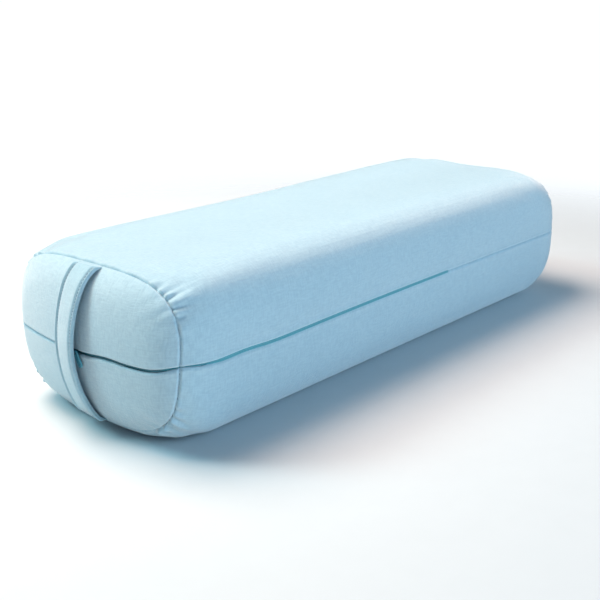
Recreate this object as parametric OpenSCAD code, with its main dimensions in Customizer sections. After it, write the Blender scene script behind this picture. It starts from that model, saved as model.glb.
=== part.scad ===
// Rectangular yoga bolster: a zipped fabric cover over a cased foam cushion.
// One end carries a sewn strap. A concealed zip starts under the strap, turns the
// front corner and runs along the front side at mid-height.
//
// Frame: millimetres, +Z up, origin at the centre of the flat underside.
// X runs along the length with the strap at -X, and the zipped side faces -Y.

/* [Body] */
// Length over both end panels
body_l = 650; // [560:10:760]
// Width over the long sides
body_w = 230; // [200:5:300]
// Height from the underside to the top
body_h = 150; // [130:5:180]
// Radius of the four long edges
edge_r = 34; // [30:1:40]
// Radius of the corners between the ends and the sides
corner_r = 36; // [32:1:45]
// Radius of the domed ends, seen from above
dome_plan_r = 400; // [350:10:600]
// Radius of the domed ends, seen from the side
dome_side_r = 150; // [130:5:200]
// Distance of each end seam from the outermost point of its end
seam_inset = 22; // [18:1:26]

/* [Cover] */
// Thickness of the cover fabric
cover_t = 1.2; // [0.8:0.1:1.4]
// Gap between two panels, where they are stitched together
seam_gap = 0.8; // [0.6:0.1:1]

/* [Zip] */
// Where the zip stops along the front side, from the middle of the length
zip_end_x = 67; // [-100:1:200]
// Distance of the slider from the middle of the strap
slider_y = 5; // [5:1:20]
// Opening between the cover panels for the two folded tapes
zip_opening = 4.6; // [4.4:0.1:5.2]
// Width of each zip tape
tape_w = 12; // [10:1:14]
// Length of the pull tab, from its pivot to the middle of its round end
pull_l = 10.5; // [9:0.5:16]
// Lean of the hanging pull tab away from straight down, in degrees
pull_lean = 30; // [0:5:45]

/* [Strap] */
// Width of the carry strap
strap_w = 34; // [25:1:45]
// Room for fingers behind the middle of the strap
strap_gap = 10; // [9:1:14]
// Thickness of each of the strap's two layers
strap_t = 1.4; // [1:0.1:2]

/* [Cushion] */
// Thickness of the inner case's fabric
case_t = 0.8; // [0.5:0.1:1]
// Thickness of the wadding round the foam
wadding_t = 9; // [6:1:12]

/* [Hidden] */
$fn = 64;
dome_fn = 256;
far = 2 * body_l; // reaches past every surface
fit = 0.3; // clearance between two layers
arc_bite = 0.01; // lets a corner's arc cut cleanly into the lines that it blends

half_l = body_l / 2;
half_w = body_w / 2;
half_h = body_h / 2;
seam_x = half_l - seam_inset;
thread_t = seam_gap / 2;

// Zip: each size across the tapes is measured up or down from mid-height, and each
// depth inwards from the outer surface.
tape_t = 0.5;
tape_slot = 0.9; // clear slot between the tapes, for the slider's neck
tape_lip_h = (zip_opening - tape_slot) / 2 - 0.15; // folded edge that fills the opening
tape_d = cover_t + 0.2;
coil_t = 1.3;
coil_h = 1.5;
coil_d = tape_d + tape_t + 0.1;
coil_top = tape_slot / 2 + coil_h;
zip_start_y = 8; // the tapes start this far behind the middle of the strap
stop_l = 1.5; // length of a metal stop along the zip

// Slider
slider_half_l = 4.5;
slider_wall = 0.6;
slider_clear = 0.15;
bite = 0.1; // how far two blocks of one solid run into each other
slider_back_d = coil_d + coil_t + slider_clear;
slider_half_w = coil_top + slider_clear + slider_wall;
neck_t = 0.5;
neck_half_l = 2.5;
saddle_lift = 0.4; // gap between the saddle and the outer surface
saddle_t = 0.7;
post_r = 0.7;
post_h = 2.2;
post_pitch = 5.2; // distance between the bridge's two posts
bridge_t = 0.8;
bridge_w = 1.8;

// Pull tab
pull_bore_r = 1.2;
pull_eye_r = 2.2;
pull_end_r = 2.6;
pull_slot_r = 1.1;
pull_t = 1.2;
pull_lift = saddle_lift + saddle_t + (post_h - pull_t) / 2;

// The slider's path is an arc of the domed end, about this vertical axis
zip_axis_x = dome_plan_r - half_l;
slider_turn = asin(slider_y / dome_plan_r);
stop_y = -slider_y + slider_half_l + fit; // near edge of the top stops

// Strap: one arc from seam to seam, standing clear of the end panels
strap_half_h = half_h - 7;
strap_sag = seam_inset - 1 + strap_gap;
strap_r = (pow(strap_half_h, 2) + pow(strap_sag, 2)) / (2 * strap_sag);
strap_axis_x = strap_r - half_l - strap_gap;
ply_gap = 0.1; // between the strap's two layers
stitch_inset = 4; // distance of a stitch row from the strap's edge
stitch_w = 0.7;
stitch_d = 0.5;

// Depths of the cushion's layers
case_d = slider_back_d + slider_wall + fit;
wadding_d = case_d + case_t + fit;
core_d = wadding_d + wadding_t + fit;

// ---- Outlines ----------------------------------------------------------------

// An oblong with an arc for each end and a smaller arc at each corner. Every arc keeps
// its centre when the outline is inset, so two insets leave an even band between them.
module domed_outline(half_length, half_width, dome_r, inset) {
    dome_x = half_length - dome_r;
    corner_y = half_width - corner_r;
    corner_x = dome_x + sqrt(pow(dome_r - corner_r, 2) - pow(corner_y, 2));
    touch_y = (dome_r - inset) * corner_y / (dome_r - corner_r); // where the arcs meet
    side_y = half_width - inset;
    intersection() {
        square([far, 2 * side_y], center = true);
        union() {
            square([2 * corner_x, 2 * side_y], center = true);
            for (end = [-1, 1]) {
                intersection() {
                    translate([end * dome_x, 0]) circle(dome_r - inset, $fn = dome_fn);
                    translate([end * far / 2, 0]) square([far, 2 * touch_y], center = true);
                }
                for (across = [-1, 1])
                    translate([end * corner_x, across * corner_y])
                        circle(corner_r - inset + arc_bite);
            }
        }
    }
}

// The body's cross-section, with its four long edges rounded
module section_outline(inset) {
    y = half_w - edge_r;
    z = half_h - edge_r;
    r = edge_r - inset;
    intersection() {
        square([2 * (y + r), 2 * (z + r)], center = true);
        union() {
            square([2 * (y + r), 2 * z], center = true);
            square([2 * y, 2 * (z + r)], center = true);
            for (across = [-1, 1], up = [-1, 1])
                translate([across * y, up * z]) circle(r + arc_bite);
        }
    }
}

// ---- Layers --------------------------------------------------------------------

// The filled body, inset evenly from its outer surface: the solid that its outlines
// from above, from the side and from the end have in common
module body_solid(inset) {
    intersection() {
        translate([0, 0, half_h - far / 2]) linear_extrude(far)
            domed_outline(half_l, half_w, dome_plan_r, inset);
        translate([0, far / 2, half_h]) rotate([90, 0, 0]) linear_extrude(far)
            domed_outline(half_l, half_h, dome_side_r, inset);
        translate([-far / 2, 0, half_h]) rotate([90, 0, 90]) linear_extrude(far)
            section_outline(inset);
    }
}

// A box from the first to the second value along each axis, with Z measured from
// mid-height. An axis left out has no limit.
module slab(x = [-far, far], y = [-far, far], z = [-far, far]) {
    translate([x[0], y[0], half_h + z[0]]) cube([x[1] - x[0], y[1] - y[0], z[1] - z[0]]);
}

// The part of a layer between two depths that lies in the child slab
module layer(depth, thickness) {
    difference() {
        intersection() {
            body_solid(depth);
            children();
        }
        body_solid(depth + thickness);
    }
}

// ---- Cover panels ----------------------------------------------------------------

// One panel of the cover, over the given lengths and heights, with the opening for
// the zip's folded tapes cut out of it
module cover_panel(x, z) {
    color("#bfdde6") difference() {
        layer(0, cover_t) slab(x = x, z = z);
        slab([-far, zip_end_x], [-far, zip_start_y], [-zip_opening / 2, zip_opening / 2]);
    }
}

upper = [seam_gap / 2, far];
lower = [-far, -seam_gap / 2];
middle = [seam_gap / 2 - seam_x, seam_x - seam_gap / 2];
strap_end = [-far, -seam_x - seam_gap / 2];
far_end = [seam_x + seam_gap / 2, far];

module cover_top_panel() { cover_panel(middle, upper); }
module cover_bottom_panel() { cover_panel(middle, lower); }
module strap_end_upper_panel() { cover_panel(strap_end, upper); }
module strap_end_lower_panel() { cover_panel(strap_end, lower); }
module far_end_upper_panel() { cover_panel(far_end, upper); }
module far_end_lower_panel() { cover_panel(far_end, lower); }

// ---- Seam threads ------------------------------------------------------------------

// The line of thread round one end, sunk between the wrap and the end panels
module end_seam_thread(x) {
    color("#8fb8c8") difference() {
        layer(fit, cover_t - fit) slab(x = [x - thread_t / 2, x + thread_t / 2]);
        slab([-far, zip_end_x], [-far, zip_start_y], [-zip_opening / 2, zip_opening / 2]);
    }
}

module strap_end_seam_thread() { end_seam_thread(-seam_x); }
module far_end_seam_thread() { end_seam_thread(seam_x); }

// The mid-height thread, wherever the cover has a plain seam in place of the zip
module side_seam_thread() {
    color("#8fb8c8") difference() {
        layer(fit, cover_t - fit) slab(z = [-thread_t / 2, thread_t / 2]);
        slab([-far, zip_end_x + fit], [-far, zip_start_y + fit]);
        for (end = [-1, 1])
            slab(x = [end * seam_x - seam_gap / 2, end * seam_x + seam_gap / 2]);
    }
}

// ---- Zip -------------------------------------------------------------------------------

// The heights of a piece above mid-height, or below it when up is -1
function heights(up, low, high) = up > 0 ? [low, high] : [-high, -low];

// A tape: a flat strip behind the panels, and a folded lip in the opening between them
module zip_tape(up) {
    x = [-far, zip_end_x - fit];
    y = [-far, zip_start_y - fit];
    color("#3f9aa3") {
        layer(tape_d, tape_t) slab(x, y, heights(up, tape_slot / 2, tape_slot / 2 + tape_w));
        layer(fit, tape_d + tape_t - fit)
            slab(x, y, heights(up, tape_slot / 2, tape_slot / 2 + tape_lip_h));
    }
}

module zip_upper_tape() { zip_tape(1); }
module zip_lower_tape() { zip_tape(-1); }

// The envelope of one coil of monofilament, sewn behind its tape's folded edge
module zip_coil(up) {
    color("#357f88") layer(coil_d, coil_t)
        slab([-far, zip_end_x - 2 * stop_l], [-far, stop_y - fit],
            heights(up, tape_slot / 2, coil_top));
}

module zip_upper_coil() { zip_coil(1); }
module zip_lower_coil() { zip_coil(-1); }

// Two crimped stops that hold the slider under the strap
module zip_top_stops() {
    color("silver") for (up = [-1, 1])
        layer(coil_d, coil_t)
            slab([-far, 0], [stop_y, stop_y + stop_l], heights(up, tape_slot / 2, coil_top));
}

// One crimped stop that joins both coils at the zip's end
module zip_bottom_stop() {
    stop_x = zip_end_x - 2 * stop_l + fit;
    color("silver") layer(coil_d, coil_t)
        slab([stop_x, stop_x + stop_l], [-far, 0], [-coil_top, coil_top]);
}

// Places a child made at the middle of the domed end, so that it sits at the slider:
// its X points inwards from the outer surface, and -Y along the slider's travel
module at_slider() {
    translate([zip_axis_x, 0, half_h]) rotate([0, 0, slider_turn])
        translate([-dome_plan_r, 0, 0]) children();
}

// A block of the slider that follows the curve of the domed end
module slider_block(depth, thickness, half_length, z) {
    intersection() {
        translate([dome_plan_r, 0, z[0]]) difference() {
            cylinder(h = z[1] - z[0], r = dome_plan_r - depth, $fn = dome_fn);
            translate([0, 0, -1])
                cylinder(h = z[1] - z[0] + 2, r = dome_plan_r - depth - thickness, $fn = dome_fn);
        }
        translate([-half_w, -half_length, -half_h]) cube([body_w, 2 * half_length, body_h]);
    }
}

// The slider: a channel behind the coils, a neck through the slot between the tapes,
// and a saddle outside with the bridge that holds the pull tab
module zip_slider() {
    saddle_top = -saddle_lift - saddle_t;
    wall_d = coil_d + slider_clear;
    wall_z = [coil_top + slider_clear, slider_half_w];
    full_z = [-slider_half_w, slider_half_w];
    color("#5a7f88") at_slider() {
        slider_block(slider_back_d, slider_wall, slider_half_l, full_z);
        for (up = [-1, 1])
            slider_block(wall_d, slider_back_d + bite - wall_d, slider_half_l,
                heights(up, wall_z[0], wall_z[1]));
        slider_block(-saddle_lift - bite, slider_back_d + saddle_lift + 2 * bite, neck_half_l,
            [-neck_t / 2, neck_t / 2]);
        slider_block(saddle_top, saddle_t, slider_half_l, full_z);
        for (along = [-1, 1])
            translate([saddle_top + bite, along * post_pitch / 2, 0]) rotate([0, -90, 0])
                cylinder(h = post_h + 2 * bite, r = post_r);
        translate([saddle_top - post_h - bridge_t, -post_pitch / 2 - bridge_w / 2, -bridge_w / 2])
            cube([bridge_t, post_pitch + bridge_w, bridge_w]);
    }
}

// The pull tab: an eye round the bridge's leading post, and a tapered tab with a
// round end, which hangs down beside the zip
module zip_pull() {
    color("#3f9aa3") at_slider() translate([-pull_lift, -post_pitch / 2, 0])
        rotate([-pull_lean, 0, 0]) rotate([0, -90, 0]) difference() {
            linear_extrude(pull_t) hull() {
                circle(pull_eye_r);
                translate([-pull_l, 0]) circle(pull_end_r);
            }
            translate([0, 0, -1]) cylinder(h = pull_t + 2, r = pull_bore_r);
            translate([-pull_l, 0, -1]) cylinder(h = pull_t + 2, r = pull_slot_r);
        }
}

// ---- Strap -----------------------------------------------------------------------------

// A curved ply of the strap, from `low` to `high` above the strap's inner surface and
// across the given width
module strap_ply(low, high, y_low, y_high) {
    translate([0, y_high, half_h]) rotate([90, 0, 0]) linear_extrude(y_high - y_low)
        intersection() {
            translate([strap_axis_x, 0]) difference() {
                circle(strap_r + high, $fn = dome_fn);
                circle(strap_r + low, $fn = dome_fn);
            }
            translate([-far - seam_x - seam_gap, -body_h / 2]) square([far, body_h]);
        }
}

strap_top = 2 * strap_t + ply_gap;

module strap_backing() {
    color("#a9c9d6") strap_ply(0, strap_t, -strap_w / 2, strap_w / 2);
}

// The outer ply, with a groove along each edge where the stitches pull it down
module strap_face() {
    color("#c6e2ea") difference() {
        strap_ply(strap_t + ply_gap, strap_top, -strap_w / 2, strap_w / 2);
        for (y = [stitch_inset - strap_w / 2, strap_w / 2 - stitch_inset])
            strap_ply(strap_top - stitch_d, strap_top + 1, y - stitch_w / 2, y + stitch_w / 2);
    }
}

// The two rows of top-stitching, as a line of thread in each groove
module strap_stitching() {
    color("#e6f2f4") for (y = [stitch_inset - strap_w / 2, strap_w / 2 - stitch_inset])
        strap_ply(strap_top - stitch_d + 0.1, strap_top - 0.1, y - stitch_w / 2 + 0.1,
            y + stitch_w / 2 - 0.1);
}

// ---- Cushion ---------------------------------------------------------------------------

module case_piece(x) { color("white") layer(case_d, case_t) slab(x = x); }

module case_wrap() { case_piece([fit / 2 - seam_x, seam_x - fit / 2]); }
module case_strap_end() { case_piece([-far, -seam_x - fit / 2]); }
module case_far_end() { case_piece([seam_x + fit / 2, far]); }

module wadding_piece(x, z) { color("#f4f4f0") layer(wadding_d, wadding_t) slab(x = x, z = z); }

wadding_x = seam_x - wadding_t; // the end pieces of wadding start here

module upper_wadding() { wadding_piece([-wadding_x, wadding_x], [fit / 2, far]); }
module lower_wadding() { wadding_piece([-wadding_x, wadding_x], [-far, -fit / 2]); }
module strap_end_wadding() { wadding_piece([-far, -wadding_x - fit], [-far, far]); }
module far_end_wadding() { wadding_piece([wadding_x + fit, far], [-far, far]); }

module foam_core() { color("#f0e6c8") body_solid(core_d); }

cover_top_panel();
cover_bottom_panel();
strap_end_upper_panel();
strap_end_lower_panel();
far_end_upper_panel();
far_end_lower_panel();
strap_end_seam_thread();
far_end_seam_thread();
side_seam_thread();
zip_upper_tape();
zip_lower_tape();
zip_upper_coil();
zip_lower_coil();
zip_top_stops();
zip_bottom_stop();
zip_slider();
zip_pull();
strap_face();
strap_backing();
strap_stitching();
case_wrap();
case_strap_end();
case_far_end();
upper_wadding();
lower_wadding();
strap_end_wadding();
far_end_wadding();
foam_core();
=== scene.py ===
"""The looks of the bolster: cover, zip, strap, cushion, materials and light."""
import math

import bmesh
import bpy
import numpy as np
from mathutils import Matrix, Vector
from mathutils.kdtree import KDTree


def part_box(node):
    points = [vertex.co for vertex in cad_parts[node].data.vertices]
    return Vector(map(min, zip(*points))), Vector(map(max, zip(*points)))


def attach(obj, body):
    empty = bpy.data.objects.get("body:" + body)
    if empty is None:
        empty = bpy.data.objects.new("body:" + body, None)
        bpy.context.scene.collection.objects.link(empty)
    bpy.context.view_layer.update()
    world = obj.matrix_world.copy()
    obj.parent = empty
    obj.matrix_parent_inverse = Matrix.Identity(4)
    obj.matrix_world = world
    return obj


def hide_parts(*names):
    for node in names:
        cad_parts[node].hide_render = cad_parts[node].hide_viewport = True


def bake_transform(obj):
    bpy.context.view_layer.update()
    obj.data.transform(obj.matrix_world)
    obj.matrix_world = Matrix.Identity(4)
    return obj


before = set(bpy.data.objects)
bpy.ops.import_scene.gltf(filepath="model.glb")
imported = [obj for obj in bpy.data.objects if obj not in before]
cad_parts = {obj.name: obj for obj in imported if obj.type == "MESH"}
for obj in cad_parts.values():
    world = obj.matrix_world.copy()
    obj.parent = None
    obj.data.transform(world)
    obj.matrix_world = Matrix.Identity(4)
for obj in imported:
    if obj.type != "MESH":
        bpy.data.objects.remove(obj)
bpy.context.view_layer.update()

MM = 0.001
rng = np.random.default_rng(7)

# ---- Sizes, from the CAD frame ----


def centre(node):
    """The middle of a CAD node's box."""
    lo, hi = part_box(node)
    return (Vector(lo) + Vector(hi)) / 2


def high(node):
    """The highest corner of a CAD node's box."""
    return Vector(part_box(node)[1])


HALF_L = high("far_end_upper_panel").x
HALF_W = high("cover_top_panel").y
HEIGHT = high("cover_top_panel").z
MID = centre("side_seam_thread").z
HALF_H = HEIGHT - MID
SEAM_X = high("far_end_seam_thread").x
ZIP_END_X = high("zip_upper_tape").x
ZIP_START_Y = high("zip_upper_tape").y
STRAP_W = high("strap_face").y * 2

# The radii of the body's outlines, as the CAD has them
CORNER_R = 36 * MM
DOME_PLAN_R = 400 * MM
DOME_SIDE_R = 150 * MM
COVER_T = 1.2 * MM

# How square the cross-section is: the powers of its superellipse, above (1) and below (-1) mid-height
SQUARE_MIDDLE = {1: 5.9, -1: 5.0}
SQUARE_STRAP_SEAM = {1: 3.7, -1: 3.3}
SQUARE_FAR_SEAM = {1: 3.5, -1: 3.3}
SQUARE_TIP = 2.2
SOFTEN_LENGTH = 45 * MM # the wrap's edges round off over this length, towards each end seam
FULLNESS = 0.07 # share of its height that the top rises by, at its far back corner
FULL_START_X = -80 * MM # the rise starts here, and grows over these two distances
FULL_REACH_X = 330 * MM
FULL_REACH_Y = 100 * MM

# The cover has crept: the strap end's seam lies nearer the middle at the top, and further out at the bottom
SEAM_CREEP_BELOW = 2.5 * MM
SEAM_CREEP_ABOVE = 7.5 * MM
CREEP_REACH = 120 * MM
CREEP_TOP = 1.47 # the creep is full this many half heights above the underside

# The underside is flat where it rests on the floor. These are shares of the depth below mid-height
PRESS_START = 0.96
PRESS_SPREAD = 0.02
PRESS_SPREAD_START = 0.8

# ---- Objects ----


def put(owner, **values):
    """Sets several properties of one thing."""
    for key, value in values.items():
        setattr(owner, key, value)


def new_object(name, data):
    obj = bpy.data.objects.new(name, data)
    bpy.context.scene.collection.objects.link(obj)
    return obj


# ---- Camera ----

CAMERA_AZIMUTH = math.radians(-47.4)
CAMERA_ELEVATION = math.radians(17.8)
CAMERA_ROLL = math.radians(-0.84)
CAMERA_DISTANCE = 0.909
CAMERA_AIM = Vector((-0.100, -0.054, MID))
CAMERA_LENS = 56.1


def add_camera():
    data = bpy.data.cameras.new("camera")
    put(data, lens=CAMERA_LENS, sensor_width=36, clip_start=0.01)
    camera = new_object("camera", data)
    back = Vector((
        math.sin(CAMERA_AZIMUTH) * math.cos(CAMERA_ELEVATION),
        -math.cos(CAMERA_AZIMUTH) * math.cos(CAMERA_ELEVATION),
        math.sin(CAMERA_ELEVATION),
    ))
    camera.location = CAMERA_AIM + back * CAMERA_DISTANCE
    turn = (-back).to_track_quat("-Z", "Y").to_matrix()
    camera.rotation_euler = (turn @ Matrix.Rotation(CAMERA_ROLL, 3, "Z")).to_euler()
    bpy.context.scene.camera = camera


# ---- The body's smooth form ----


def outline(x, half_width, dome_r, inset=0.0):
    """Half the body's width at each x, for an outline with domed ends and rounded corners."""
    dome_x = HALF_L - dome_r
    corner_y = half_width - CORNER_R
    corner_x = dome_x + math.sqrt((dome_r - CORNER_R) ** 2 - corner_y**2)
    touch_x = dome_x + (dome_r - inset) * (corner_x - dome_x) / (dome_r - CORNER_R)
    x = np.abs(x)
    on_corner = corner_y + np.sqrt(np.maximum((CORNER_R - inset) ** 2 - (x - corner_x) ** 2, 0))
    on_dome = np.sqrt(np.maximum((dome_r - inset) ** 2 - (x - dome_x) ** 2, 0))
    return np.where(x <= corner_x, half_width - inset, np.where(x <= touch_x, on_corner, on_dome))


def smooth_step(a):
    a = np.clip(a, 0, 1)
    return a * a * (3 - 2 * a)


def hill(a, middle, width):
    """A bell-shaped rise, 1 at its middle."""
    return np.exp(-(((a - middle) / width) ** 2))


def unit(vectors):
    return vectors / np.linalg.norm(vectors, axis=-1, keepdims=True)


def look_up(at, run, rows):
    """Points between rows of points, at distances along them."""
    return np.stack([np.interp(at, run, rows[:, k]) for k in range(3)], axis=-1)


def squareness(x, up):
    """The superellipse power of one half of the cross-section."""
    seam = SQUARE_STRAP_SEAM[up] if x < 0 else SQUARE_FAR_SEAM[up]
    x = abs(x)
    if x > SEAM_X:
        return seam + (SQUARE_TIP - seam) * (x - SEAM_X) / (HALF_L - SEAM_X)
    soften = smooth_step((x - (SEAM_X - SOFTEN_LENGTH)) / SOFTEN_LENGTH)
    return 1 / ((1 - soften) / SQUARE_MIDDLE[up] + soften / seam)


def half_section(x, up, inset=0.0, points=721):
    """Half the section at x, from front to back: Y, distance from mid-height, and length so far."""
    w = float(outline(x, HALF_W, DOME_PLAN_R, inset))
    h = float(outline(x, HALF_H, DOME_SIDE_R, inset))
    n = float(squareness(x, up))
    turn = np.linspace(0, math.pi, points)
    c, s = np.cos(turn), np.sin(turn)
    reach = (np.abs(c) ** n + np.abs(s) ** n) ** (-1 / n)
    y, z = -w * c * reach, h * s * reach
    run = np.concatenate([[0], np.cumsum(np.hypot(np.diff(y), np.diff(z)))])
    return y, z, run


# ---- Grids of points ----

EDGE_STEPS = np.array([0, 0.3, 0.6, 0.95, 1.4, 2.0, 2.8, 4.0, 5.8, 8.2]) * MM
FINE_STEP = 2.4 * MM
CORNER_STEP = 0.9 * MM
CORNER_ZONE = 36 * MM # round the section, the steps grow from its corners over this distance
COARSE_STEP = 7 * MM
FINE_ZONE = 70 * MM # the fine steps reach this far from an end seam
END_LENGTH = 92 * MM # from an end seam to the outermost point, along the surface
END_ROWS = 34


def graded_wrap():
    """Distances along the wrap: close together at its end seams, and coarse in the middle."""
    total = 2 * SEAM_X
    near = np.concatenate([EDGE_STEPS, np.arange(EDGE_STEPS[-1] + FINE_STEP, FINE_ZONE, FINE_STEP)])
    count = int(round((total - 2 * near[-1]) / COARSE_STEP))
    inner = np.linspace(near[-1], total - near[-1], count + 1)[1:-1]
    return np.concatenate([near, inner, (total - near)[::-1]])


def graded_end():
    """The share of the way from an end's outermost point to its seam, for each row of an end panel."""
    rows = np.linspace(EDGE_STEPS[-1], END_LENGTH, END_ROWS)[1:]
    return 1 - np.concatenate([EDGE_STEPS, rows]) / END_LENGTH


def press_down(z, half_h):
    """Depths below mid-height, spread and flattened where the underside rests on the floor."""
    share = z / half_h
    share = share + PRESS_SPREAD * smooth_step((share - PRESS_SPREAD_START) / (1 - PRESS_SPREAD_START))
    turn = np.clip((share - PRESS_START) / (2 * (1 - PRESS_START)), 0, 1)
    pressed = PRESS_START + (1 - PRESS_START) * (1 - (1 - turn) ** 2)
    return half_h * np.where(share > PRESS_START, pressed, share)


SECTION_LENGTH = half_section(-SEAM_X, 1)[2][-1]


def section_corners():
    """Distances round the half section, at an end seam, to the middles of its two corners."""
    y, z, run = half_section(-SEAM_X, 1)
    front = run[np.argmax(z - y)]
    return front, run[-1] - front


def graded_section():
    """Distances round the half section: close together near mid-height and round both corners."""
    fine = np.linspace(EDGE_STEPS[-1], SECTION_LENGTH - EDGE_STEPS[-1], 2001)
    from_corner = np.min([np.abs(fine - corner) for corner in section_corners()], axis=0)
    step = CORNER_STEP + (FINE_STEP - CORNER_STEP) * smooth_step(from_corner / CORNER_ZONE)
    count = np.concatenate([[0], np.cumsum(np.diff(fine) / step[1:])])
    inner = np.interp(np.linspace(0, count[-1], int(count[-1])), count, fine)
    return np.concatenate([EDGE_STEPS[:-1], inner, SECTION_LENGTH - EDGE_STEPS[-2::-1]])


class Surface:
    """The body's smooth surface at one depth, above or below mid-height, ready to be looked up."""

    def __init__(self, up, shares, inset=0.0):
        tip = HALF_L - inset
        polar = tip - (tip - SEAM_X + FINE_STEP) * np.linspace(0, 1, 60) ** 2
        straight = np.linspace(0, polar[-1], 160)[:-1]
        half = np.concatenate([straight, polar[::-1]])
        self.xs = np.concatenate([-half[:0:-1], half])
        self.shares, self.tip = shares, tip
        self.y = np.empty((len(self.xs), len(shares)))
        self.z = np.empty_like(self.y)
        for i, x in enumerate(self.xs):
            y, z, run = half_section(x, up, inset)
            at = shares * run[-1]
            self.y[i] = np.interp(at, run, y)
            self.z[i] = np.interp(at, run, z)
        if up < 0:
            self.z = -press_down(self.z, HALF_H - inset)
        else:
            far = smooth_step((self.xs[:, None] - FULL_START_X) / FULL_REACH_X)
            self.z *= 1 + FULLNESS * far * smooth_step(self.y / FULL_REACH_Y)

    def creep(self):
        """How far the strap end's seam has crept towards the middle, for each column."""
        z = np.array([np.interp(-SEAM_X, self.xs, column) for column in self.z.T])
        return SEAM_CREEP_ABOVE * smooth_step((z + HALF_H) / (CREEP_TOP * HALF_H)) - SEAM_CREEP_BELOW

    def points(self, x):
        """Points at the given X, one row of x for each row of points and one column for each share."""
        grid = np.empty(x.shape + (3,))
        for j in range(x.shape[1]):
            grid[:, j, 0] = x[:, j]
            grid[:, j, 1] = np.interp(x[:, j], self.xs, self.y[:, j])
            grid[:, j, 2] = MID + np.interp(x[:, j], self.xs, self.z[:, j])
        return grid

    def straight(self, x):
        """Rows of points across the body, each at one X."""
        return self.points(np.repeat(x[:, None], len(self.shares), axis=1))

    def wrap(self, along):
        """Points between the end seams, in rows at the given distances along the wrap."""
        x = np.repeat(along[:, None] - SEAM_X, len(self.shares), axis=1)
        near = smooth_step(1 - (x + SEAM_X) / CREEP_REACH)
        return self.points(x + near * self.creep()[None, :])

    def dome(self, side, start, rows):
        """Points of one end from the X where it starts, at a row of 1, to its outermost point, at 0."""
        start = np.broadcast_to(start, len(self.shares))
        return self.points(side * (self.tip - (self.tip - start) * rows[:, None] ** 2))

    def end(self, side, rows):
        """Points of one end, from its seam to its outermost point."""
        return self.dome(side, SEAM_X - self.creep() if side < 0 else SEAM_X, rows)


def outward_normals(grid, facing):
    """Unit normals of a grid of points. facing is 1 or -1, to turn them out of the body."""
    normal = np.cross(np.gradient(grid, axis=0), np.gradient(grid, axis=1)) * facing
    size = np.linalg.norm(normal, axis=2, keepdims=True)
    flat = size[..., 0] < 1e-12
    normal = normal / np.maximum(size, 1e-12)
    normal[flat] = (np.sign(grid[..., 0].mean()), 0, 0)
    return normal


# ---- Meshes ----


def smooth_object(name, mesh):
    mesh.shade_smooth()
    return new_object(name, mesh)


def mesh_object(name, points, faces, fabric=None):
    """A mesh object. fabric is each point's place on the flat cloth, in metres, for the weave to follow."""
    mesh = bpy.data.meshes.new(name)
    mesh.from_pydata([tuple(p) for p in points], [], faces)
    if fabric is not None:
        layer = mesh.attributes.new("fabric", "FLOAT_VECTOR", "POINT")
        layer.data.foreach_set("vector", np.asarray(fabric, dtype=np.float32).ravel())
    return smooth_object(name, mesh)


def weld(obj, distance=0.01 * MM):
    """Joins points that fall on one another, and turns every face outwards."""
    work = bmesh.new()
    work.from_mesh(obj.data)
    bmesh.ops.remove_doubles(work, verts=work.verts, dist=distance)
    bmesh.ops.dissolve_degenerate(work, edges=work.edges, dist=distance / 10)
    bmesh.ops.recalc_face_normals(work, faces=work.faces)
    work.to_mesh(obj.data)
    work.free()
    obj.data.shade_smooth()


def grid_faces(rows, columns, start=0, closed=False):
    """Quads over points numbered row by row. A closed grid's last column joins its first."""
    faces = []
    for i in range(rows - 1):
        for j in range(columns if closed else columns - 1):
            a = start + i * columns + j
            b = start + i * columns + (j + 1) % columns
            faces.append((a, b, b + columns, a + columns))
    return faces


def shell(name, outer, inner, fabric):
    """A closed sheet of cloth between two grids of the same size."""
    rows, columns = outer.shape[:2]
    count = rows * columns
    faces = grid_faces(rows, columns) + grid_faces(rows, columns, count)
    index = np.arange(count).reshape(rows, columns)
    rim = [*index[:, 0], *index[-1, 1:], *index[-2::-1, -1], *index[0, -2:0:-1]]
    for a, b in zip(rim, rim[1:] + rim[:1]):
        faces.append((a, b, b + count, a + count))
    points = np.concatenate([outer.reshape(-1, 3), inner.reshape(-1, 3)])
    obj = mesh_object(name, points, faces, np.concatenate([fabric.reshape(-1, 3)] * 2))
    weld(obj)
    return obj


def joined(name, grids):
    """One closed surface from grids of points that meet at their edges."""
    points, faces = [], []
    for grid in grids:
        faces += grid_faces(grid.shape[0], grid.shape[1], len(points))
        points += list(grid.reshape(-1, 3))
    obj = mesh_object(name, points, faces)
    weld(obj, 0.05 * MM)
    return obj


def swept(name, rings, closed=False, fabric=None):
    """A closed solid through rings of points, with a flat cap at each end unless it closes on itself."""
    rows, columns = rings.shape[:2]
    if closed:
        rings = np.concatenate([rings, rings[:1]])
        rows += 1
    faces = grid_faces(rows, columns, closed=True)
    if not closed:
        faces += [tuple(range(columns)), tuple(range((rows - 1) * columns, rows * columns))]
    obj = mesh_object(name, rings.reshape(-1, 3), faces, fabric)
    weld(obj, 0.001 * MM)
    return obj


SLANT = (0.37, 0.21, 0.9) # a direction that no thread runs along


def tube(name, path, radius, closed, sides=6):
    """A round thread along a path, with a radius for each point."""
    ahead = np.gradient(path, axis=0)
    if closed:
        ahead = np.roll(path, -1, axis=0) - np.roll(path, 1, axis=0)
    ahead = unit(ahead)
    side = unit(np.cross(ahead, SLANT))
    other = np.cross(ahead, side)
    turn = np.linspace(0, 2 * math.pi, sides, endpoint=False)[None, :, None]
    around = np.cos(turn) * side[:, None] + np.sin(turn) * other[:, None]
    return swept(name, path[:, None] + radius[:, None, None] * around, closed)


def vertex_values(obj, name):
    flat = np.empty(len(obj.data.vertices) * 3)
    obj.data.vertices.foreach_get(name, flat)
    return flat.reshape(-1, 3)


def show(obj, material, body, node):
    """Gives a finished piece its material, and has it ride a body in place of a CAD node."""
    obj.data.materials.append(material)
    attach(obj, body)
    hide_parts(node)


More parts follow.
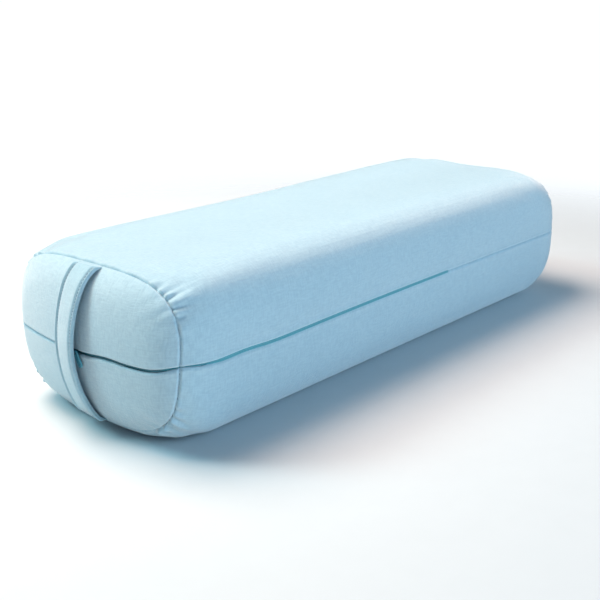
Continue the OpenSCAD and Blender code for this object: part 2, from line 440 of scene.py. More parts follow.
# ---- Settling of the cover ----

SETTLE_VOXEL = 6 * MM
SETTLE_PRESSURE = 4.0
SETTLE_FRAMES = 20
SETTLE_SHARE = 0.45 # of the simulated movement, kept
SETTLE_LIMIT = 1.6 * MM
SETTLE_FADE = 14 * MM # the movement dies out over this distance from a seam


class Settling:
    """The cover's movement under the cushion's pressure, from a cloth simulation of the whole body."""

    def __init__(self):
        self.places = None
        body = self.closed_body()
        rest = vertex_values(body, "co")
        moved = self.simulate(body, rest)
        shift = ((moved - rest) * vertex_values(body, "normal")).sum(axis=1) * SETTLE_SHARE
        self.shift = np.clip(shift, -SETTLE_LIMIT, SETTLE_LIMIT)
        self.places = KDTree(len(rest))
        for i, place in enumerate(rest):
            self.places.insert(place, i)
        self.places.balance()
        bpy.data.objects.remove(body)

    def closed_body(self):
        """The whole body as one even mesh of small quads."""
        shares = np.linspace(0, 1, 70)
        along = np.linspace(0, 2 * SEAM_X, 90)
        rows = np.linspace(1, 0, 20)
        grids = []
        for up in (-1, 1):
            surface = Surface(up, shares)
            grids += [surface.wrap(along), surface.end(-1, rows), surface.end(1, rows)]
        body = joined("settling", grids)
        remesh = body.modifiers.new("voxels", "REMESH")
        put(remesh, mode="VOXEL", voxel_size=SETTLE_VOXEL)
        even = bpy.data.meshes.new_from_object(body.evaluated_get(bpy.context.evaluated_depsgraph_get()))
        body.modifiers.remove(remesh)
        body.data = even
        return body

    def simulate(self, body, rest):
        """Where each point of the body is once the pressure has settled."""
        held = body.vertex_groups.new(name="held")
        near_end = np.abs(np.abs(rest[:, 0]) - SEAM_X) < SETTLE_VOXEL
        near_side = (np.abs(rest[:, 2] - MID) < SETTLE_VOXEL / 2) & ~near_end
        below = rest[:, 2] < SETTLE_VOXEL / 2
        held.add(np.flatnonzero(near_end | near_side | below).tolist(), 1.0, "REPLACE")
        cloth = body.modifiers.new("cloth", "CLOTH")
        put(cloth.settings, vertex_group_mass="held", quality=6, mass=0.25)
        put(cloth.settings, tension_stiffness=25, compression_stiffness=25, bending_stiffness=0.8)
        put(cloth.settings, use_pressure=True, uniform_pressure_force=SETTLE_PRESSURE)
        cloth.settings.effector_weights.gravity = 0
        put(cloth.point_cache, frame_start=1, frame_end=SETTLE_FRAMES)
        scene = bpy.context.scene
        for number in range(1, SETTLE_FRAMES + 1):
            scene.frame_set(number)
        moved = vertex_values(body.evaluated_get(bpy.context.evaluated_depsgraph_get()), "co")
        scene.frame_set(1)
        return moved

    def offsets(self, grid, from_seams):
        """How far each point of a grid moves outwards. from_seams is its distance from the nearest seam."""
        if self.places is None:
            return np.zeros(grid.shape[:2])
        moves = np.empty(grid.shape[:2])
        for index in np.ndindex(*moves.shape):
            found = self.places.find_n(grid[index], 6)
            weights = [1 / (distance + MM) for _, _, distance in found]
            total = sum(w * self.shift[i] for w, (_, i, _) in zip(weights, found))
            moves[index] = total / sum(weights)
        return moves * smooth_step(from_seams / SETTLE_FADE)


# ---- Seams and gathers ----

SEAM_DEPTH = 2.6 * MM
SEAM_WIDTH = 0.78 * MM
SEAM_SWELL = 0.12 # height of the swell beside a seam, as a share of the seam's depth
ZIP_TAPER = 6 * MM
ZIP_NARROW = 1.3 * MM # from mid-height to a folded edge of the cover, on the end panel
ZIP_WIDE = 1.05 * MM # the same, along the front
ZIP_PINCH = 0.7 * MM # how much narrower it is at the front corner
ZIP_EDGE_DEPTH = 1.5 * MM
ZIP_ROLL = 3.0 * MM # radius of the cloth's folded edge along the zip
ZIP_SWELL = 0.45 * MM # height of the cloth's roll beside the zip
ZIP_BESIDE = 7 * MM # the cloth makes way for the zip over this distance from it
LINE_BESIDE = 26 * MM # the cloth follows the line's waves over this distance from it
CORNER_WAY = 138 * MM # from the middle of the strap to the front corner, along the zip
DEEPEST = 3.2 * MM # no seam or gather goes deeper


def groove(distance, depth, width):
    """Depth of a seam's valley at a distance from it, with a slight swell beside it."""
    valley = np.exp(-((distance / width) ** 1.4))
    return depth * (SEAM_SWELL * hill(distance, 3.2 * width, width) - valley)


def zip_share(x, y):
    """1 beside the zip, and 0 where the mid-height seam is plain."""
    before_end = smooth_step((ZIP_END_X - x) / ZIP_TAPER)
    on_front = smooth_step((ZIP_START_Y - y) / ZIP_TAPER)
    return before_end * np.where(x < 0, on_front, y < 0)


def way_along(x, y):
    """Distance from the middle of the strap along the mid-height line, over the end and then the front."""
    return np.minimum(-y, HALF_W) + (x + HALF_L)


def zip_half_width(x, y):
    """From the zip's line to a folded edge of the cover."""
    way = way_along(x, y)
    pinch = ZIP_PINCH * hill(way, CORNER_WAY, 16 * MM)
    return ZIP_NARROW + (ZIP_WIDE - ZIP_NARROW) * smooth_step((way - CORNER_WAY) / (40 * MM)) - pinch


def line_rise(x, y):
    """How high the front's mid-height line stands: it waves round the corner, and creeps up beyond it."""
    way = way_along(x, y)
    before = 2.0 * MM * hill(way, 40 * MM, 28 * MM)
    corner = 4.6 * MM * hill(way, CORNER_WAY, 30 * MM)
    after = 1.8 * MM * hill(way, 206 * MM, 26 * MM)
    beyond = 4.0 * MM * (1 - np.exp(-((np.maximum(way - 230 * MM, 0) / (130 * MM)) ** 1.3)))
    return smooth_step(-y / (50 * MM)) * (before + corner + after + beyond)


GATHER_DEPTH = 3.3 * MM
GATHER_SPREAD = 1.3 # how much a gather widens over its length
GATHER_HELD = 0.55 # how much shallower the stitches hold it, right at the seam
GATHER_RIDGE = 0.3 # height of the ridges beside it, as a share of its depth
GATHER_ZONE = 26 * MM # from a corner, round the seam
GATHER_MARGIN = 5 * MM # the first and the last are this far from mid-height
FAR_SEAM_GATHERS = 0.35 # strength of the wrap's at the far end
END_PANEL_GATHERS = 0.15
END_PANEL_PITCH = 13 * MM
WRAP_GATHERS = {
    1: {"strength": 0.85, "between": 0.42},
    -1: {"strength": 1.9, "between": 0.02, "lean": 0.5},
}


def gather(beside, away, length, depth, width, lean):
    """Height of the cloth beside one short valley that runs from a seam, and away from the seam."""
    width = width * (1 + GATHER_SPREAD * away / length)
    across = np.abs((beside - lean * away) / width)
    fade = np.exp(-((away / length) ** 1.5)) * (1 - GATHER_HELD * np.exp(-away / MM))
    return -depth * fade * (np.exp(-(across**1.5)) - GATHER_RIDGE * hill(across, 2.4, 1.2))


def end_seam(run, away, strength, pitch=7.5 * MM, between=0.3, lean=0.0):
    """Height of the cloth beside an end seam: its gathers are deep and long at its corners, and faint
    between them. run goes round the seam, and away leads from it."""
    offset = groove(away, SEAM_DEPTH, SEAM_WIDTH)
    corners = section_corners()
    at = GATHER_MARGIN
    while at < SECTION_LENGTH - GATHER_MARGIN:
        near = max(hill(at, corner, GATHER_ZONE) for corner in corners)
        force = (between + near) * rng.uniform(0.6, 1.25)
        offset += gather(
            run - at, away,
            length=(8 + 13 * near * rng.uniform(0.4, 1.4)) * MM,
            depth=GATHER_DEPTH * force * strength,
            width=(rng.uniform(1.2, 1.8) + 1.6 * (1 - near)) * MM,
            lean=rng.uniform(-0.15, 0.15) + lean * np.sign(SECTION_LENGTH / 2 - at),
        )
        at += pitch * rng.uniform(0.65, 1.4)
    return offset


# ---- Cover panels ----

PANEL_SHARES = graded_section() / SECTION_LENGTH


def finish_panel(name, grid, offset, facing, settling, from_end, fabric):
    """Adds the mid-height seam or the zip's folded edge to a panel, and gives it thickness."""
    up = np.sign(grid[..., 2].mean() - MID)
    normal = outward_normals(grid, facing)
    above = np.abs(grid[..., 2] - MID)
    x, y = grid[..., 0], grid[..., 1]
    zipped = zip_share(x, y)
    offset += groove(above, SEAM_DEPTH, SEAM_WIDTH) * (1 - zipped)
    fold = np.clip(1 - above / ZIP_ROLL, 0, 1)
    swell = ZIP_SWELL * hill(above, 0.8 * ZIP_ROLL, 0.45 * ZIP_ROLL)
    offset += (swell - ZIP_EDGE_DEPTH * (1 - np.sqrt(1 - fold**2))) * zipped
    offset = -DEEPEST * np.tanh(-offset / DEEPEST)
    offset += settling.offsets(grid, np.minimum(from_end, above))
    outer = grid + normal * offset[..., None]
    outer[..., 2] += zipped * up * zip_half_width(x, y) * np.exp(-above / ZIP_BESIDE)
    outer[..., 2] += line_rise(x, y) * np.exp(-above / LINE_BESIDE)
    outer[..., 2] = np.maximum(outer[..., 2], 0.0)
    return shell(name, outer, outer - normal * COVER_T, fabric)


def distance_down(grid):
    """Distance of each point of a grid from its first row."""
    steps = np.linalg.norm(np.diff(grid, axis=0), axis=2)
    return np.concatenate([np.zeros((1, steps.shape[1])), np.cumsum(steps, axis=0)])


def wrap_panel(name, up, settling):
    """The upper or lower wrap of the cover, between the two end seams."""
    grid = Surface(up, PANEL_SHARES).wrap(graded_wrap())
    run = PANEL_SHARES[None, :] * SECTION_LENGTH + 0 * grid[..., 0]
    from_start = distance_down(grid)
    from_finish = from_start[-1] - from_start
    gathers = WRAP_GATHERS[up]
    offset = end_seam(run, from_start, **gathers)
    offset += end_seam(run, from_finish, **{**gathers, "strength": FAR_SEAM_GATHERS})
    fabric = np.dstack([from_start, run, 0 * run])
    return finish_panel(name, grid, offset, up, settling, np.minimum(from_start, from_finish), fabric)


def end_panel(name, up, side, settling):
    """The upper or lower half of an end panel."""
    grid = Surface(up, PANEL_SHARES).end(side, graded_end())
    run = PANEL_SHARES[None, :] * SECTION_LENGTH + 0 * grid[..., 0]
    away = distance_down(grid)
    offset = end_seam(run, away, END_PANEL_GATHERS, END_PANEL_PITCH)
    fabric = np.dstack([grid[..., 1], grid[..., 2], 0 * run])
    return finish_panel(name, grid, offset, up * side, settling, away, fabric)


def add_cover(cloth, settling):
    pieces = {
        "cover_top_panel": wrap_panel("shown_top_panel", 1, settling),
        "cover_bottom_panel": wrap_panel("shown_bottom_panel", -1, settling),
        "strap_end_upper_panel": end_panel("shown_strap_end_upper", 1, -1, settling),
        "strap_end_lower_panel": end_panel("shown_strap_end_lower", -1, -1, settling),
        "far_end_upper_panel": end_panel("shown_far_end_upper", 1, 1, settling),
        "far_end_lower_panel": end_panel("shown_far_end_lower", -1, 1, settling),
    }
    for node, panel in pieces.items():
        show(panel, cloth, "body", node)


# ---- Seam threads ----

STITCH_PITCH = 3.2 * MM
THREAD_R = 0.32 * MM


def along_path(path, step, closed=False):
    """The same path, with its points an even distance apart, and the distance of each."""
    if closed:
        path = np.concatenate([path, path[:1]])
    run = np.concatenate([[0], np.cumsum(np.linalg.norm(np.diff(path, axis=0), axis=1))])
    count = int(round(run[-1] / step))
    at = np.linspace(0, run[-1], count + 1)
    if closed:
        at = at[:-1]
    return look_up(at, run, path), at


def stitched(name, path, closed):
    """A seam's thread, which narrows where each stitch goes through the cloth."""
    path, at = along_path(path, STITCH_PITCH / 6, closed)
    radius = THREAD_R * (0.55 + 0.45 * np.abs(np.sin(math.pi * at / STITCH_PITCH)) ** 0.6)
    return tube(name, path, radius, closed)


def end_seam_path(side):
    """The closed line of an end seam, at the bottom of its groove."""
    halves = []
    for up in (1, -1):
        grid = Surface(up, np.linspace(0, 1, 160)).end(side, np.array([1, 0.996, 0.992]))
        sunk = grid - outward_normals(grid, up * side) * SEAM_DEPTH
        halves.append(sunk[0][::up])
    return np.concatenate([halves[0][:-1], halves[1][:-1]])


def plan_path(inset):
    """The body's outline at mid-height, from the zip's end all the way round to where it began."""
    tip = HALF_L - inset
    polar = tip - (tip - SEAM_X) * np.linspace(1, 0, 80) ** 2
    quarter = np.concatenate([np.linspace(0, SEAM_X, 300)[:-1], polar])
    width = outline(quarter, HALF_W, DOME_PLAN_R, inset)
    width[-1] = 0
    x = np.concatenate([-quarter, -quarter[-2::-1], quarter[1:], quarter[-2:0:-1]])
    y = np.concatenate([-width, width[-2::-1], width[1:], -width[-2:0:-1]])
    path = np.stack([x, y, np.full(len(x), MID)], axis=1)
    return np.roll(path, -np.argmin(np.hypot(x - ZIP_END_X, y + HALF_W)), axis=0)


def in_zip(path):
    return (path[:, 0] <= ZIP_END_X) & (path[:, 1] <= ZIP_START_Y)


def add_seam_threads(thread):
    for node, side in (("strap_end_seam_thread", -1), ("far_end_seam_thread", 1)):
        show(stitched("shown_" + node, end_seam_path(side), True), thread, "body", node)
    path = along_path(plan_path(SEAM_DEPTH), MM, closed=True)[0]
    plain = path[~in_zip(path)]
    plain[:, 2] += line_rise(plain[:, 0], plain[:, 1])
    show(stitched("shown_side_seam_thread", plain, False), thread, "body", "side_seam_thread")


# ---- Zip tapes ----

TAPE_W = 12 * MM
TAPE_T = 0.45 * MM
LIP_R = 0.5 * MM
LIP_SUNK = 0.25 * MM # along the front
LIP_DEEPER = 2.7 * MM # further, on the end panel
FLANGE_DEPTH = 2.2 * MM
SLOT_HALF = 0.09 * MM


def zip_tape(name, up):
    """One tape: a rolled lip beside the zip's slot, and a flat flange behind the cover."""
    path = along_path(plan_path(0.0), 1.5 * MM, closed=True)[0]
    path = path[in_zip(path)]
    ahead = unit(np.gradient(path, axis=0))
    inward = np.stack([-ahead[:, 1], ahead[:, 0], 0 * ahead[:, 0]], axis=1)
    inward *= np.sign((inward * -path).sum(axis=1))[:, None]
    half = zip_half_width(path[:, 0], path[:, 1]) + LIP_R
    past = way_along(path[:, 0], path[:, 1]) - CORNER_WAY
    sunk = LIP_SUNK + LIP_DEEPER * (1 - smooth_step((past - 12 * MM) / (34 * MM)))
    turn = np.linspace(0, math.pi, 9)
    back = FLANGE_DEPTH + TAPE_T
    every = np.ones((len(path), 1))
    lip = sunk[:, None] + LIP_R * (1 - np.sin(turn)), SLOT_HALF + half[:, None] * (1 - np.cos(turn)) / 2
    depth = np.hstack([lip[0], every * (FLANGE_DEPTH, back, back)])
    height = np.hstack([lip[1], every * (TAPE_W, TAPE_W, SLOT_HALF)])
    rings = path[:, None] + inward[:, None] * depth[..., None]
    rings[..., 2] += up * height + line_rise(path[:, 0], path[:, 1])[:, None]
    return swept(name, rings)


def add_tapes(tape):
    for node, up in (("zip_upper_tape", 1), ("zip_lower_tape", -1)):
        show(zip_tape("shown_" + node, up), tape, "body", node)


# ---- Strap ----

STRAP_PLY = 1.6 * MM
STRAP_LIFT_BACK = 0.5 * MM # room behind the middle of the strap, at its edge towards +Y
STRAP_LIFT_FRONT = 7.4 * MM # the same at its edge towards -Y, which hangs open
STRAP_SHIFT = -0.6 * MM # the upper end sits this far towards +Y
STRAP_BOW = 3.0 * MM # the middle bends this far towards +Y
STRAP_ROWS = 131
STITCH_INSET = 4.4 * MM
STRAP_STITCH_PITCH = 2.5 * MM
STRAP_STITCH = 1.7 * MM
STRAP_STITCH_R = 0.5 * MM
STRAP_TIP = 0.05 # share of its length over which each end dips into the seam
STRAP_TIP_SINK = 2.6 * MM
STRAP_TIP_SQUEEZE = 0.35 # thickness left at its very ends
STRAP_NARROWING = 0.018 # at the middle of the hanging edge
PINCH = 0.94 # share of a ply's thickness that a row of stitches takes up
PINCH_HALF = 1.5 * MM
EDGE_ROLL = 0.3 # how much thicker the folded edge stands, outside the stitches
STITCHED_SHARE = 0.94 # of the strap's length


class Strap:
    """The strap's bent form."""

    def __init__(self):
        rows = np.linspace(1, 0, 200)
        top, bottom = [Surface(up, np.array([0.5])).end(-1, rows)[:, 0] for up in (1, -1)]
        path = np.concatenate([top[:-1], bottom[::-1]])
        path[:, 1] = 0
        self.path, self.at = along_path(path, 0.5 * MM)
        self.length = self.at[-1]
        ahead = unit(np.gradient(self.path, axis=0))
        self.normal = np.stack([ahead[:, 2], 0 * ahead[:, 0], -ahead[:, 0]], axis=1)
        self.normal *= np.sign(-self.normal[:, :1].mean())

    def point(self, share, across, height):
        """Points at a share along the strap, from 0 at the upper seam to 1 at the lower one, a distance
        across it and a height above its middle layer."""
        at = share * self.length
        base = look_up(at, self.at, self.path)
        normal = unit(look_up(at, self.at, self.normal))
        front = np.clip(0.5 - across / STRAP_W, 0, 1)
        bow = np.sin(math.pi * share)
        tip = smooth_step(np.minimum(share, 1 - share) / STRAP_TIP)
        ease = front * (1.35 - 0.35 * front)
        lift = STRAP_LIFT_BACK * bow**1.6 + (STRAP_LIFT_FRONT - STRAP_LIFT_BACK) * ease * bow**0.85
        sink = STRAP_TIP_SINK * (1 - tip)
        squeeze = STRAP_TIP_SQUEEZE + (1 - STRAP_TIP_SQUEEZE) * tip
        base = base + normal * (lift - sink + STRAP_PLY * squeeze + height * squeeze)[..., None]
        narrow = 1 - STRAP_NARROWING * bow * front
        base[..., 1] += across * narrow + STRAP_BOW * bow + STRAP_SHIFT * np.cos(math.pi * share / 2) ** 2
        return base

    def ply_height(self, across):
        """Thickness of one ply: rounded at the folded edges, and pulled down along each row of stitches."""
        edge = STRAP_W / 2 - np.abs(across)
        rounded = np.sqrt(np.clip(1 - (1 - np.clip(edge / STRAP_PLY, 0, 1)) ** 2, 0, 1))
        pinch = 1 - PINCH * np.exp(-((np.abs(edge - STITCH_INSET) / PINCH_HALF) ** 1.8))
        roll = 1 + EDGE_ROLL * hill(edge, 1.7 * MM, 1.1 * MM)
        return STRAP_PLY * rounded * pinch * roll

    def ply(self, name, side):
        """The outer ply (side 1) or the inner one (side -1)."""
        edge = np.concatenate([np.linspace(0, 1.6, 6), np.linspace(2.1, 7.0, 14)]) * MM
        middle = np.linspace(edge[-1], STRAP_W - edge[-1], 14)[1:-1]
        half = np.concatenate([edge, middle, (STRAP_W - edge)[::-1]]) - STRAP_W / 2
        share = np.linspace(0, 1, STRAP_ROWS)
        across = np.concatenate([half, half[-2:0:-1]])
        skin = side * self.ply_height(half)
        seat = np.full(len(half) - 2, side * 0.03 * MM)
        height = np.concatenate([skin, seat])
        rings = np.array([self.point(np.full(len(across), s), across, height) for s in share])
        return swept(name, rings, fabric=[(a, s * self.length, 0) for s in share for a in across])

    def stitches(self, name):
        """Rows of small stitches along both edges, on both faces."""
        work = bmesh.new()
        inset = STRAP_W / 2 - STITCH_INSET
        count = int(self.length * STITCHED_SHARE / STRAP_STITCH_PITCH)
        for across in (-inset, inset):
            for side in (-1, 1):
                height = side * (float(self.ply_height(np.array(across))) + 0.4 * STRAP_STITCH_R)
                for k in range(count):
                    middle = (1 - STITCHED_SHARE) / 2 + STITCHED_SHARE * (k + 0.5) / count
                    share = middle + np.array([-0.5, 0.5]) * STRAP_STITCH / self.length
                    ends = self.point(share, np.full(2, across), np.full(2, height))
                    self.capsule(work, Vector(ends[0]), Vector(ends[1]))
        # The spheres' faces come in an order that changes from run to run
        work.verts.index_update()
        work.faces.sort(key=lambda face: face.verts[0].index * len(work.verts) + face.verts[1].index)
        mesh = bpy.data.meshes.new(name)
        work.to_mesh(mesh)
        work.free()
        return smooth_object(name, mesh)

    def capsule(self, work, start, finish):
        """One stitch: a short rounded rod."""
        along = finish - start
        turn = along.to_track_quat("Z", "Y").to_matrix().to_4x4()
        place = Matrix.Translation((start + finish) / 2) @ turn
        scale = Matrix.Diagonal((STRAP_STITCH_R, STRAP_STITCH_R, along.length / 2, 1))
        bmesh.ops.create_uvsphere(work, u_segments=6, v_segments=5, radius=1, matrix=place @ scale)


def add_strap(cloth, thread):
    strap = Strap()
    pieces = (
        (strap.ply("shown_strap_face", 1), cloth, "strap_face", "strap_fabric"),
        (strap.ply("shown_strap_backing", -1), cloth, "strap_backing", "strap_fabric"),
        (strap.stitches("shown_strap_stitching"), thread, "strap_stitching", "strap_thread"),
    )
    reach = strap.point(np.array([0.03, 0.5]), np.zeros(2), np.zeros(2))
    for piece, material, node, slot in pieces:
        piece.data.materials.append(material)
        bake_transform(piece)
        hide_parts(node)


# ---- Cushion inside the cover ----

CASE_DEPTH = 4.5 * MM
CASE_T = 0.7 * MM
WADDING_DEPTH = 5.6 * MM
WADDING_T = 8.8 * MM
CORE_DEPTH = 14.9 * MM
CUSHION_SHARES = np.linspace(0, 1, 81)
CUSHION_END_ROWS = np.linspace(1, 0, 24)
CUSHION_GAP = 0.3 * MM


def sleeve(inset, half_length, halves):
    """One face of a layer between the ends: all round for two halves, and an open channel for one."""
    along = np.linspace(-half_length, half_length, 90)
    rows = []
    for up in halves:
        grid = Surface(up, CUSHION_SHARES, inset).straight(along)
        grid[..., 2] += up * CUSHION_GAP / 2
        rows.append(grid[:, ::up])
    return np.concatenate(rows, axis=1)


def domed_end(inset, side, start_x):
    """One face of a layer's domed end, over both halves."""
    upper, lower = [
        Surface(up, CUSHION_SHARES, inset).dome(side, start_x, CUSHION_END_ROWS) for up in (1, -1)
    ]
    return np.concatenate([upper, lower[:, ::-1]], axis=1)


def foam_core(name):
    grids = []
    for up in (1, -1):
        surface = Surface(up, CUSHION_SHARES, CORE_DEPTH)
        grids.append(surface.straight(np.linspace(0, 2 * SEAM_X, 80) - SEAM_X))
        grids += [surface.dome(side, SEAM_X, CUSHION_END_ROWS) for side in (-1, 1)]
    return joined(name, grids)


def add_cushion(lining, wadding, foam):
    inside = SEAM_X - WADDING_T
    case = (CASE_DEPTH, CASE_T, lining, "case_fabric")
    wad = (WADDING_DEPTH, WADDING_T, wadding, "wadding")
    layers = (
        ("case_wrap", case, sleeve, (SEAM_X - CUSHION_GAP, (1, -1))),
        ("case_strap_end", case, domed_end, (-1, SEAM_X)),
        ("case_far_end", case, domed_end, (1, SEAM_X)),
        ("upper_wadding", wad, sleeve, (inside, (1,))),
        ("lower_wadding", wad, sleeve, (inside, (-1,))),
        ("strap_end_wadding", wad, domed_end, (-1, inside)),
        ("far_end_wadding", wad, domed_end, (1, inside)),
    )
    for node, (depth, thickness, material, slot), face, place in layers:
        outer, inner = face(depth, *place), face(depth + thickness, *place)
        show(shell("shown_" + node, outer, inner, outer), material, "body", node)
    show(foam_core("shown_foam_core"), foam, "body", "foam_core")


# ---- Materials ----


class Nodes:
    """The node tree of a material or a world, built by short calls."""

    def __init__(self, owner, shader="Principled BSDF"):
        owner.use_nodes = True
        self.owner = owner
        self.tree = owner.node_tree
        self.shader = self.tree.nodes[shader]

    def feed(self, value, socket):
        """Links a socket, or sets a plain value."""
        if isinstance(value, bpy.types.NodeSocket):
            self.tree.links.new(value, socket)
        elif value is not None:
            socket.default_value = value

    def add(self, kind, inputs=(), **settings):
        """A node with these settings. Its inputs go by name or number."""
        node = self.tree.nodes.new("ShaderNode" + kind)
        put(node, **settings)
        for key, value in dict(inputs).items():
            self.feed(value, node.inputs[key])
        return node

    def set(self, **values):
        """Sets the shader's inputs, by name with _ for a space."""
        for key, value in values.items():
            self.feed(value, self.shader.inputs[key.replace("_", " ")])

    def math(self, operation, a, b=None, clamp=False):
        return self.add("Math", {0: a, 1: b}, operation=operation, use_clamp=clamp).outputs[0]

    def add_scaled(self, start, value, factor, clamp=False):
        """start plus factor times value."""
        return self.math("ADD", start, self.math("MULTIPLY", value, factor), clamp)

    def waves(self, value, half_length):
        return self.math("SINE", self.math("MULTIPLY", value, math.pi / half_length))

    def axes(self, vector):
        return self.add("SeparateXYZ", {0: vector}).outputs

    def stretch(self, vector, factors):
        return self.add("VectorMath", {0: vector, 1: factors}, operation="MULTIPLY").outputs[0]

    def noise(self, vector, scale, detail=3.0, roughness=0.55):
        inputs = {"Vector": vector, "Scale": scale, "Detail": detail, "Roughness": roughness}
        return self.add("TexNoise", inputs).outputs[0]

    def mix(self, share, a, b):
        return self.add("Mix", {0: share, 6: a, 7: b}, data_type="RGBA").outputs[2]

    def bump(self, height, distance, strength):
        inputs = {"Strength": strength, "Distance": distance, "Height": height}
        return self.add("Bump", inputs).outputs[0]

    def fade(self, value, limits):
        """0 at the first limit and 1 at the second."""
        inputs = {"Value": value, "From Min": limits[0], "From Max": limits[1]}
        return self.add("MapRange", inputs, interpolation_type="SMOOTHSTEP").outputs["Result"]

    def place(self):
        """A point's place in the row frame, in metres."""
        return self.add("TexCoord").outputs["Object"]

    def finish(self, colours, tone, rough, bump, **others):
        """Sets the shader, with two colours mixed by tone, and returns the material."""
        colour = self.mix(tone, linear(*colours[0]), linear(*colours[1]))
        self.set(Base_Color=colour, Roughness=rough, Normal=bump, **others)
        return self.owner


def new_material(name):
    return Nodes(bpy.data.materials.new(name))


def linear(red, green, blue):
    """A colour for a node, from its usual 0 to 255 values."""
    channels = [c / 255 for c in (red, green, blue)]
    return tuple(c / 12.92 if c <= 0.04045 else ((c + 0.055) / 1.055) ** 2.4 for c in channels) + (1.0,)


def weave(nodes, place, thread):
    """Heights of a plain weave, with each thread as wide as thread."""
    x, y, _ = nodes.axes(place)
    warp, weft = nodes.waves(x, thread), nodes.waves(y, thread)
    ridges = nodes.math("ADD", nodes.math("ABSOLUTE", warp), nodes.math("ABSOLUTE", weft))
    return nodes.add_scaled(nodes.math("MULTIPLY", warp, weft), ridges, 0.5)


def woven_material(name, *colours, thread, relief, sheen, grain=1.0):
    """Plain-woven cotton: uneven threads, slubs both ways, faint mottling and a soft sheen."""
    nodes = new_material(name)
    place = nodes.add("Attribute", attribute_name="fabric").outputs["Vector"] # on the flat cloth
    warp_slubs = nodes.noise(nodes.stretch(place, (0.22, 1, 1)), 620, 2)
    weft_slubs = nodes.noise(nodes.stretch(place, (1, 0.22, 1)), 640, 2)
    slubs = nodes.math("ADD", warp_slubs, weft_slubs)
    mottle = nodes.noise(place, 34, 4, 0.62)
    tone = nodes.add_scaled(mottle, nodes.math("SUBTRACT", slubs, 1.0), 1.5 * grain, clamp=True)
    height = nodes.add_scaled(weave(nodes, place, thread), slubs, 2.4 * grain)
    nodes.set(Sheen_Weight=sheen, Sheen_Roughness=0.5, Specular_IOR_Level=0.25)
    return nodes.finish(colours, tone, nodes.add_scaled(0.8, mottle, 0.2), nodes.bump(height, relief, 0.55))


def thread_material(name, *colours):
    """Spun thread: fine twisted strands with a faint sheen."""
    nodes = new_material(name)
    twist = nodes.noise(nodes.stretch(nodes.place(), (1, 1, 2)), 2600, 2)
    rough = nodes.add_scaled(0.55, twist, 0.2)
    return nodes.finish(colours, twist, rough, nodes.bump(twist, 0.15 * MM, 0.5), Sheen_Weight=0.2)


def tape_material(name, *colours):
    """Zip tape: dense ribs across a close weave."""
    nodes = new_material(name)
    place = nodes.place()
    x, y, _ = nodes.axes(place)
    ribs = nodes.waves(nodes.math("ADD", x, y), 0.45 * MM)
    fuzz = nodes.noise(place, 700)
    relief = nodes.bump(nodes.add_scaled(fuzz, ribs, 0.6), 0.12 * MM, 0.5)
    return nodes.finish(colours, fuzz, nodes.add_scaled(0.6, fuzz, 0.3), relief, Sheen_Weight=0.3)


def hard_material(name, *colours, metallic, coat):
    """Moulded or painted metal: faint wear and fine scratches under a clear coat."""
    nodes = new_material(name)
    place = nodes.place()
    wear = nodes.noise(place, 260, 4, 0.6)
    scratches = nodes.bump(nodes.noise(nodes.stretch(place, (1, 1, 0.08)), 3200, 2), 0.03 * MM, 0.4)
    nodes.set(Metallic=metallic, Coat_Weight=coat, Coat_Roughness=0.2)
    return nodes.finish(colours, wear, nodes.add_scaled(0.3, wear, 0.2), scratches)


def coil_material(name, *colours):
    """The zip's coil: close turns of glossy monofilament."""
    nodes = new_material(name)
    place = nodes.place()
    x, y, _ = nodes.axes(place)
    turns = nodes.bump(nodes.waves(nodes.math("ADD", x, y), 0.6 * MM), 0.25 * MM, 0.8)
    fuzz = nodes.noise(place, 900, 2)
    return nodes.finish(colours, nodes.math("MULTIPLY", fuzz, 0.9), nodes.add_scaled(0.3, fuzz, 0.2), turns)


def wadding_material(name, *colours):
    """Bonded polyester wadding: tangled fibres with soft clumps."""
    nodes = new_material(name)
    place = nodes.place()
    fibres = nodes.noise(nodes.stretch(place, (1, 0.5, 1)), 1100, 6, 0.7)
    clumps = nodes.noise(place, 60)
    relief = nodes.bump(nodes.add_scaled(fibres, clumps, 2.0), 0.7 * MM, 0.7)
    return nodes.finish(colours, clumps, nodes.add_scaled(0.85, fibres, 0.12), relief, Sheen_Weight=0.4)


def foam_material(name, *colours):
    """Open-cell foam: fine pores."""
    nodes = new_material(name)
    place = nodes.place()
    pores = nodes.add("TexVoronoi", {"Vector": place, "Scale": 900}).outputs[0]
    tone = nodes.noise(place, 45)
    return nodes.finish(colours, tone, nodes.add_scaled(0.85, tone, 0.1), nodes.bump(pores, 0.5 * MM, 0.6))


def finish_kept_nodes(coil, stops, slider, pull):
    """The CAD nodes that are shown as they are, each with its material."""
    kept = {
        "zip_upper_coil": coil, "zip_lower_coil": coil,
        "zip_top_stops": stops, "zip_bottom_stop": stops,
        "zip_slider": slider, "zip_pull": pull,
    }
    for node, material in kept.items():
        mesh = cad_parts[node].data
        mesh.materials.clear()
        mesh.materials.append(material)


# ---- Floor and light ----

FLOOR_SIZE = 4.0
FLOOR_SOLID = 0.5 # the floor starts to fade this far from the object's middle
FLOOR_GONE = 1.1 # and has faded out this far from it
ROOM_COLOUR = (0.07, 0.09, 0.12, 1)
BACKDROP_COLOUR = (1.01, 1.06, 1.10, 1)
BACKDROP_AIM = (0.70, 0.64, -0.31)
# Where each white has faded and where it is full: cosines of the angle from the backdrop's middle, and
# heights of a direction, for the white below the horizon
BACKDROP_SPREAD = (0.55, 0.9)
HORIZON_FADE = (0.07, 0.0)


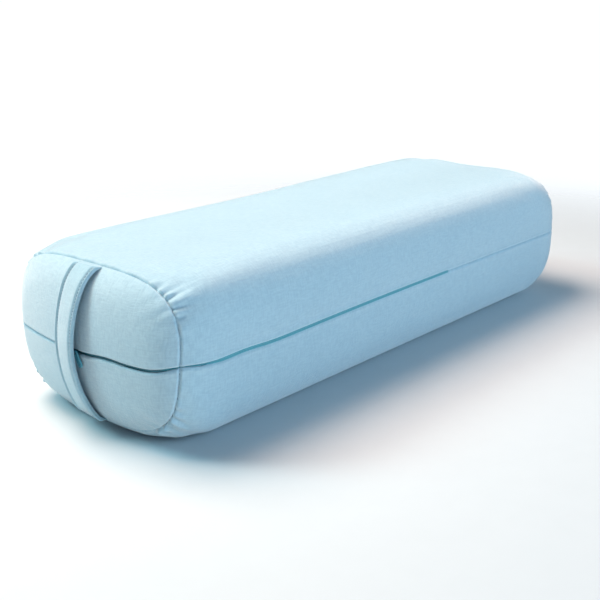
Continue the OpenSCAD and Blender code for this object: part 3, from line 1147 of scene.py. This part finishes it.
def add_floor():
    """A pale floor that fades into the backdrop some way from the object."""
    bpy.ops.mesh.primitive_plane_add(size=FLOOR_SIZE, location=(0, 0, -0.2 * MM))
    floor = bpy.context.object
    floor.name = "floor"
    nodes = new_material("floor")
    place = nodes.place()
    colour = nodes.mix(nodes.noise(place, 40, 2), linear(218, 223, 226), linear(215, 220, 223))
    nodes.set(Base_Color=colour, Roughness=0.95, Specular_IOR_Level=0.1)
    reach = nodes.add("VectorMath", {0: place}, operation="LENGTH").outputs["Value"]
    nodes.set(Alpha=nodes.math("SUBTRACT", 1.0, nodes.fade(reach, (FLOOR_SOLID, FLOOR_GONE))))
    floor.data.materials.append(nodes.owner)


def add_light(name, place, aim, size, power, tint):
    data = bpy.data.lights.new(name, "AREA")
    put(data, size=size, energy=power, color=tint)
    turn = (Vector(aim) - Vector(place)).to_track_quat("-Z", "Y").to_euler()
    put(new_object(name, data), location=place, rotation_euler=turn)


def add_world():
    """A dim, cool room: white below the horizon all round, and white higher up behind the object."""
    world = bpy.data.worlds.new("studio")
    nodes = Nodes(world, "Background")
    direction = nodes.add("TexCoord").outputs["Generated"]
    aim = {0: direction, 1: Vector(BACKDROP_AIM).normalized()}
    toward = nodes.add("VectorMath", aim, operation="DOT_PRODUCT").outputs["Value"]
    below = nodes.fade(nodes.axes(direction)["Z"], HORIZON_FADE)
    share = nodes.math("MAXIMUM", nodes.fade(toward, BACKDROP_SPREAD), below)
    nodes.set(Color=nodes.mix(share, ROOM_COLOUR, BACKDROP_COLOUR))
    bpy.context.scene.world = world


def add_lights():
    """A warm key from above and behind, a cool one on the strap's end, and a wide cool fill in front."""
    add_light("above", (-0.30, 0.60, 1.45), aim=(0, 0, 0.1), size=1.0, power=39.5, tint=(1.0, 0.81, 0.69))
    add_light("left", (-1.2, 1.3, 1.5), aim=(-0.3, 0, 0.08), size=0.6, power=21.5, tint=(0.50, 0.92, 1.0))
    add_light("front", (0.35, -2.0, 0.75), aim=(0, 0, 0.08), size=1.4, power=24.5, tint=(0.51, 0.78, 1.0))
    bpy.context.scene.view_settings.view_transform = "Standard"


# ---- Build ----

add_camera()
add_floor()
add_world()
add_lights()
settling = Settling()
cotton = {"thread": 0.55 * MM, "relief": 0.16 * MM, "sheen": 0.9, "grain": 1.7}
add_cover(woven_material("cover_cotton", (182, 214, 227), (169, 203, 218), **cotton), settling)
# The seam thread is coloured far darker than the cover: painted shade, standing in for the shadow deep in
# each seam's groove.
add_seam_threads(thread_material("seam_thread", (98, 140, 164), (80, 122, 148)))
add_tapes(tape_material("teal_tape", (96, 176, 190), (78, 158, 174)))
add_strap(
    woven_material("strap_cotton", (169, 207, 222), (157, 196, 212), **cotton),
    # The strap's stitches are coloured dark navy: painted shade, standing in for the shadow in the stitch
    # holes and the ditches they sit in.
    thread_material("strap_thread", (70, 106, 140), (54, 88, 122)),
)
lining = {"thread": 0.5 * MM, "relief": 0.12 * MM, "sheen": 0.1}
add_cushion(
    woven_material("lining_cotton", (238, 238, 234), (224, 224, 220), **lining),
    wadding_material("wadding_fibre", (246, 246, 242), (232, 232, 228)),
    foam_material("cushion_foam", (240, 230, 200), (226, 214, 182)),
)
finish_kept_nodes(
    coil=coil_material("nylon_coil", (48, 122, 138), (36, 102, 120)),
    stops=hard_material("pressed_stops", (190, 200, 204), (160, 172, 178), metallic=0.9, coat=0.0),
    slider=hard_material("painted_slider", (40, 104, 122), (30, 88, 106), metallic=0.3, coat=0.6),
    # The pull's teal is far lighter than the slider's: painted highlight, standing in for the light it
    # catches while it hangs in shade.
    pull=hard_material("pull_painted_highlight", (110, 190, 206), (90, 168, 188), metallic=0.2, coat=0.7),
)
